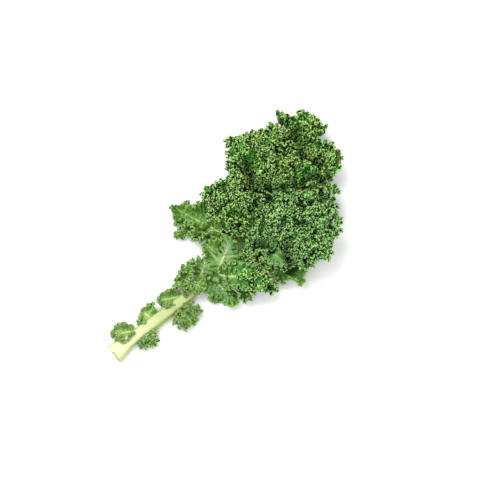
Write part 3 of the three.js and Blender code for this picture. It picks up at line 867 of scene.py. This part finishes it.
def tissue_group():
    """Green leaf tissue: its colour, with painted highlight and shade, and its roughness and relief, by
    distance from margin and rib.
    """
    tree = bpy.data.node_groups.new("leaf_tissue", "ShaderNodeTree")
    for way, kind, names in (
        ("INPUT", "Float", TISSUE_VALUES),
        ("INPUT", "Color", TISSUE_COLOURS),
        ("OUTPUT", "Color", ("Color",)),
        ("OUTPUT", "Float", ("Roughness", "Height")),
    ):
        for name in names:
            tree.interface.new_socket(name=name, in_out=way, socket_type=f"NodeSocket{kind}")
    get = add(tree, "NodeGroupInput").outputs
    place = add(tree, "ShaderNodeTexCoord").outputs["Object"]
    patches = noise(tree, place, Scale=PATCH_RATE, Detail=3, Roughness=0.6)
    net = cells(tree, place, "DISTANCE_TO_EDGE", NET_RATE)
    grain = noise(tree, place, Scale=GRAIN_RATE, Detail=2)
    blisters = cells(tree, place, "F1", BLISTER_RATE)
    ripe = noise(tree, place, Scale=RIPE_RATE, Detail=1)
    # Freshness by lobe and in soft patches.
    patch = scaled(tree, patches, 0.35, 0.7, -0.4, 0.2)
    freshness = math_node(tree, "ADD", get["Tone"], patch, clamp=True)
    body = mix(tree, freshness, get["Deep"], get["Fresh"])
    # The lobes of the dense head are painted darker inwards from the margin, as the shade down among
    # their crowded curls, with fainter veins and backs. The smooth lobes are darkened evenly instead.
    openness = scaled(tree, get["Crisp"], 0.75, 0.95, 1, 0)
    painted_shade_and_tone = scaled(tree, get["Edge"], 0.8, 5, 1, 0.6)
    painted_shade_and_tone = scaled(tree, openness, 0, 1, painted_shade_and_tone, 0.66)
    body = mix(tree, 1, body, painted_shade_and_tone, "MULTIPLY")
    inwards = scaled(tree, get["Edge"], 2, 7, 0, 0.8)
    back = product(tree, inwards, scaled(tree, openness, 0, 1, 0.12, 1))
    body = mix(tree, product(tree, get["Under"], back), body, get["Back"])
    # Side veins fan out from the rib and a fine net joins them.
    shift = scaled(tree, patches, 0.3, 0.7, 0.25, 0.75)
    turn = math_node(tree, "FRACT", math_node(tree, "ADD", get["Turn"], shift))
    off = math_node(tree, "ABSOLUTE", math_node(tree, "SUBTRACT", turn, 0.5))
    vein = scaled(tree, product(tree, off, get["Spread"]), 0.15, 0.6, 0.45, 0)
    vein = product(tree, vein, scaled(tree, get["Edge"], 0.5, 5))
    net = product(tree, scaled(tree, net, 0, 0.12, 1, 0), 0.12)
    veins = math_node(tree, "MAXIMUM", vein, net)
    clear = scaled(tree, openness, 0, 1, 0.2, 1)
    pale = scaled(tree, get["Tone"], 0.3, 0.6, 0.35, 1)
    veins_seen = product(tree, veins, product(tree, clear, pale))
    body = mix(tree, veins_seen, body, get["Vein"])
    rib = scaled(tree, get["Rib side"], 0.7, 1.7, 1, 0)
    body = mix(tree, product(tree, rib, clear), body, get["Vein"])
    # The margin is painted paler, as the highlight on the lit crests of the curls, with yellower specks
    # in it where it has no wax. The wax lies over all of it.
    shares = ((0, 1), (0.04, 0.62), (0.1, 0.25), (0.25, 0))
    greys = [(position, (share,) * 3) for position, share in shares]
    painted_rim_highlight = ramp(tree, scaled(tree, get["Edge"], 0, 10), greys)
    bare = math_node(tree, "SUBTRACT", 1, get["Wax"])
    yellow = product(tree, scaled(tree, ripe, 0.42, 0.66, 0, 0.7), bare)
    body = mix(tree, painted_rim_highlight, body, mix(tree, yellow, get["Rim"], get["Ripe rim"]))
    body = mix(tree, scaled(tree, get["Wax"], 0.4, 1, 0, 0.22), body, get["Bloom"])
    # The crisp tissue is blistered: blisters are painted light on their crowns, a painted highlight, and
    # painted darker round them, as the shade in the gaps between the curls. The same pattern also gives
    # the relief.
    blister_relief_and_painted_light = scaled(tree, blisters, 0.45, 0.68, 1.7, 0.02)
    blister_relief_and_painted_light = scaled(tree, openness, 0, 1.2, blister_relief_and_painted_light, 1)
    body = mix(tree, 1, body, blister_relief_and_painted_light, "MULTIPLY")
    # Down in the crevices between the mounds the foliage is painted darker, as shade.
    painted_crevice_shade = scaled(tree, get["Hollow"], 0.2, 0.9, 1, 0.58)
    body = mix(tree, 1, body, painted_crevice_shade, "MULTIPLY")
    # Veins are sunk, and patches and blisters stand up.
    height = math_node(tree, "ADD", product(tree, veins, -0.8), patches)
    height = math_node(tree, "ADD", height, blister_relief_and_painted_light)
    rough = scaled(tree, grain, 0.3, 0.7, 0.38, 0.55)
    add(tree, "NodeGroupOutput", Color=body, Roughness=rough, Height=height)
    return tree


def new_material(name):
    """A material with its nodes and its shader."""
    material = bpy.data.materials.new(name)
    material.use_nodes = True
    tree = material.node_tree
    return material, tree, tree.nodes["Principled BSDF"]


def leaf_material(name, colours, fresh):
    """Leaf tissue by the values that its meshes carry, with a green of its own when fresh."""
    material, tree, shader = new_material(name)
    group = bpy.data.node_groups.get("leaf_tissue") or tissue_group()
    tissue = add(tree, "ShaderNodeGroup", node_tree=group)
    for socket in TISSUE_VALUES:
        feed(tissue.inputs[socket], attribute(tree, socket.replace(" ", "").lower()))
    fill(tissue, Bloom=colours.bloom, Deep=colours.deep, Fresh=fresh, Rim=colours.rim)
    fill(tissue, Ripe_rim=colours.ripe_rim, Vein=colours.vein, Back=colours.under)
    relief = tissue.outputs["Height"]
    bump = add(tree, "ShaderNodeBump", Strength=0.6, Distance=0.0006, Height=relief)
    fill(shader, Base_Color=tissue.outputs["Color"], Roughness=tissue.outputs["Roughness"])
    fill(shader, Normal=bump.outputs["Normal"], Specular_IOR_Level=0.2)
    return material


def stalk_material(colours):
    """Pale petiole tissue with lengthwise fibres, green along its edges and towards the blade."""
    material, tree, shader = new_material("kale_stalk")
    along = attribute(tree, "along")
    across = attribute(tree, "across")
    foot, stalk = colours.foot, colours.stalk
    stops = ((0, foot), (0.08, foot), (0.2, stalk), (0.34, stalk), (0.4, colours.midrib))
    tint = ramp(tree, scaled(tree, along, 0, STALK_LENGTH), stops)
    lane = product(tree, across, 3.5)
    lanes = add(tree, "ShaderNodeCombineXYZ", X=product(tree, along, 0.015), Y=lane)
    fibres = noise(tree, lanes.outputs[0], Scale=4, Detail=4, Roughness=0.65)
    base = mix(tree, scaled(tree, fibres, 0.45, 0.7, 0, 0.4), tint, colours.edge)
    # A green line runs along both edges, from just past the foot.
    line = scaled(tree, math_node(tree, "ABSOLUTE", across), 0.58, 0.82, 0, 0.8)
    line = product(tree, line, scaled(tree, along, 4, 30, 0.35, 1))
    base = mix(tree, line, base, colours.edge)
    # The rim of the cut has dried in olive specks.
    place = add(tree, "ShaderNodeTexCoord").outputs["Object"]
    flecks = noise(tree, place, Scale=FLECK_RATE, Detail=1)
    cut = scaled(tree, along, 0.5, 3, 1, 0)
    dried = product(tree, scaled(tree, flecks, 0.52, 0.6), cut)
    base = mix(tree, dried, base, colours.dry)
    bump = add(tree, "ShaderNodeBump", Strength=0.3, Distance=0.0007, Height=fibres)
    fill(shader, Base_Color=base, Normal=bump.outputs["Normal"], Roughness=0.42)
    fill(shader, Subsurface_Weight=0.2, Subsurface_Scale=0.003)
    return material


# ---- operators


def finish_piece(piece, node):
    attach(piece, "root")
    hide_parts(node)


class KALE_OT_stalk(bpy.types.Operator):
    """Makes the petiole with its cut foot and the midrib that it runs into"""

    bl_idname = "kale.stalk"
    bl_label = "Stalk"

    def execute(self, context):
        stations = STALK_LENGTH * np.linspace(0, 1, STALK_RINGS) ** RING_CROWDING
        rings = stalk_rings(stations, STALK_SIDES)
        rings[..., 2] = np.maximum(rings[..., 2], STALK_LIFT)
        ends = [rings[0].mean(0), rings[-1].mean(0)]
        points = np.concatenate([rings.reshape(-1, 3), ends])
        k = np.arange(STALK_SIDES)
        ahead = (k + 1) % STALK_SIDES
        ring = np.arange(STALK_RINGS - 1)[:, None] * STALK_SIDES
        onward = ring + STALK_SIDES
        sides = two_triangles(ring + k, ring + ahead, onward + ahead, onward + k)
        last = onward[-1, 0]
        middle = np.full(STALK_SIDES, last + STALK_SIDES)
        foot = np.stack([middle, ahead, k], -1)
        end = np.stack([middle + 1, last + k, last + ahead], -1)
        values = {
            "along": np.append(np.repeat(stations, STALK_SIDES), [0, STALK_LENGTH]),
            "across": np.append(np.tile(np.cos(math.tau * k / STALK_SIDES), STALK_RINGS), [0, 0]),
        }
        faces = np.concatenate([sides, foot, end])
        material = stalk_material(context.scene.kale_colours)
        piece = mesh_piece("petiole_and_midrib", points, faces, material, values)
        finish_piece(piece, "stalk")
        return {"FINISHED"}


class KALE_OT_blade(bpy.types.Operator):
    """Makes the curled lobes of the blade and the wings along the midrib"""

    bl_idname = "kale.blade"
    bl_label = "Blade"

    def execute(self, context):
        curls = context.scene.kale_curls
        colours = context.scene.kale_colours
        material = leaf_material("kale_blade", colours, colours.fresh)
        scale = {"fold": 1, "height": curls.fold_height, "ruffle": 1, "curl": 1, "lift": 1}
        lobes = {}
        for row in BLADE_LOBES:
            lobes[row[0]] = lobe_on_stalk(row, len(LEAFLETS) + len(lobes), BLADE_RISE)
        kinds = (("tuft", TUFTS, TUFT_SHAPE), ("smooth", SMOOTH_TUFTS, SMOOTH_TUFT_SHAPE))
        for kind, rows, shape in kinds:
            for number, (parent, *place) in enumerate(rows):
                order = len(LEAFLETS) + len(lobes)
                lobes[f"{kind}_{number}"] = lobe_on_lobe(lobes[parent], order, shape, *place)
        for name, lobe in lobes.items():
            piece = lobe_piece(f"lobe_{name}", lobe, curls, scale, material)
            finish_piece(piece, "blade")
        for side, name in ((LEFT, "left"), (RIGHT, "right")):
            piece = self.wing(f"wing_{name}", side, curls, material)
            finish_piece(piece, "blade")
        return {"FINISHED"}

    def wing(self, name, side, curls, material):
        """The strip of blade along one side of the midrib, with its inner row within it."""
        across = np.linspace(0, 1, WING_ROWS)
        distance = np.linspace(WING_START, STALK_LENGTH - WING_STOP, WING_COLUMNS)
        centre, left, _ = stalk_frame(distance)
        half_width, _ = stalk_halves(distance)
        outward = left * side * math.cos(WING_SLOPE) + (0, 0, math.sin(WING_SLOPE))
        width = WING_WIDTH * smoothstep((distance - WING_START + WING_LEAD) / WING_GROWTH)
        reach = (half_width - WING_SUNK)[:, None] + (width + WING_SUNK)[:, None] * across
        points = centre[:, None] + (0, 0, WING_RISE) + outward[:, None] * reach[..., None]
        points[..., 2] += WING_WAVE * across**2 * wobble(distance[:, None] / WING_RIPPLE, 3 + side)
        i = np.arange(WING_COLUMNS - 1)[:, None] * WING_ROWS
        a = (i + np.arange(WING_ROWS - 1)).ravel()
        b = a + WING_ROWS
        faces = two_triangles(a, b, b + 1, a + 1)
        if side == LEFT:
            faces = faces[:, ::-1]
        shares = np.tile(across, WING_COLUMNS)
        along = np.repeat(np.linspace(0, 1, WING_COLUMNS), WING_ROWS)
        uv = np.stack([along, shares * UV_HEIGHT], -1)[faces]
        gap = shares * WING_WIDTH
        values = {"edge": WING_EDGE + WING_WIDTH - gap, "ribside": gap + 1.2}
        whole = {"turn": 0.5, "spread": 9.0, "tone": 0.5, "crisp": 0.7, "wax": 0, "hollow": 0}
        values.update({key: np.full(gap.size, value) for key, value in whole.items()})
        thickness = np.full(gap.size, curls.thickness + 0.3)
        points = press(points.reshape(-1, 3))
        return sheet_piece(name, points, faces, uv, values, thickness, material)


class KALE_OT_leaflets(bpy.types.Operator):
    """Makes the small leaflets on the bare petiole"""

    bl_idname = "kale.leaflets"
    bl_label = "Leaflets"

    def execute(self, context):
        curls = context.scene.kale_curls
        colours = context.scene.kale_colours
        material = leaf_material("kale_leaflet", colours, colours.young)
        for order, row in enumerate(LEAFLETS):
            lobe = lobe_on_stalk(row, order, LEAFLET_RISE)
            name = f"curly_leaflet_{lobe.name}"
            piece = lobe_piece(name, lobe, curls, LEAFLET_SCALE, material)
            finish_piece(piece, f"leaflet_{lobe.name}")
        return {"FINISHED"}


class KALE_OT_stage(bpy.types.Operator):
    """Makes the pale floor, the soft light and the camera"""

    bl_idname = "kale.stage"
    bl_label = "Stage"

    def execute(self, context):
        scene = context.scene
        settings = scene.kale_stage
        material, _, shader = new_material("floor_white")
        fill(shader, Base_Color=scene.kale_colours.floor, Roughness=1)
        mesh = bpy.data.meshes.new("floor")
        corners = [(x * FLOOR_HALF, y * FLOOR_HALF, 0) for x, y in ((-1, -1), (1, -1), (1, 1), (-1, 1))]
        mesh.from_pydata(corners, [], [(0, 1, 2, 3)])
        mesh.materials.append(material)
        floor = new_object("floor", mesh)
        world = bpy.data.worlds.new("white_surroundings")
        scene.world = world
        world.use_nodes = True
        fill(world.node_tree.nodes["Background"], Color=(1, 1, 1), Strength=settings.sky)
        self.soft_light("key", KEY_PLACE, KEY_SIZE, settings.key_power)
        self.soft_light("fill", FILL_PLACE, FILL_SIZE, settings.fill_power)
        scene.view_settings.view_transform = "Standard"
        self.camera(scene, settings)
        return {"FINISHED"}

    def soft_light(self, name, place, size, power):
        """A square lamp that faces the middle of the floor."""
        light = bpy.data.lights.new(name, "AREA")
        light.size = size
        light.energy = power
        lamp = new_object(name, light)
        lamp.location = place
        lamp.rotation_euler = (-Vector(place)).to_track_quat("-Z", "Y").to_euler()

    def camera(self, scene, settings):
        """A camera as far away as makes its picture the set width at the leaf."""
        data = bpy.data.cameras.new("camera")
        data.lens = settings.lens
        camera = new_object("camera", data)
        aim = Vector((SHIFT + (*VIEW_CENTRE, 0)) * MM)
        azimuth, elevation = settings.azimuth, settings.elevation
        level = math.cos(elevation)
        back = Vector((math.sin(azimuth) * level, -math.cos(azimuth) * level, math.sin(elevation)))
        camera.location = aim + back * settings.width * data.lens / data.sensor_width
        camera.rotation_euler = (-back).to_track_quat("-Z", "Y").to_euler()
        scene.camera = camera


class KALE_PT_panel(bpy.types.Panel):
    """Lists the steps that build the leaf"""

    bl_idname = "KALE_PT_panel"
    bl_label = "Curly kale leaf"
    bl_space_type = "VIEW_3D"
    bl_region_type = "UI"
    bl_category = "Kale"

    def draw(self, context):
        for operator in OPERATORS:
            self.layout.operator(operator.bl_idname)
        for name in SETTINGS:
            group = getattr(context.scene, name)
            box = self.layout.box()
            for key in group.__annotations__:
                box.prop(group, key)


SETTINGS = {"kale_curls": LeafCurls, "kale_colours": LeafColours, "kale_stage": LeafStage}
OPERATORS = (KALE_OT_stalk, KALE_OT_blade, KALE_OT_leaflets, KALE_OT_stage)
CLASSES = (*SETTINGS.values(), *OPERATORS, KALE_PT_panel)


def register():
    for cls in CLASSES:
        bpy.utils.register_class(cls)
    for name, group in SETTINGS.items():
        setattr(bpy.types.Scene, name, bpy.props.PointerProperty(type=group))


def unregister():
    for name in SETTINGS:
        delattr(bpy.types.Scene, name)
    for cls in reversed(CLASSES):
        bpy.utils.unregister_class(cls)


def main():
    register()
    bpy.ops.kale.stalk()
    bpy.ops.kale.blade()
    bpy.ops.kale.leaflets()
    bpy.ops.kale.stage()


if __name__ == "__main__":
    main()
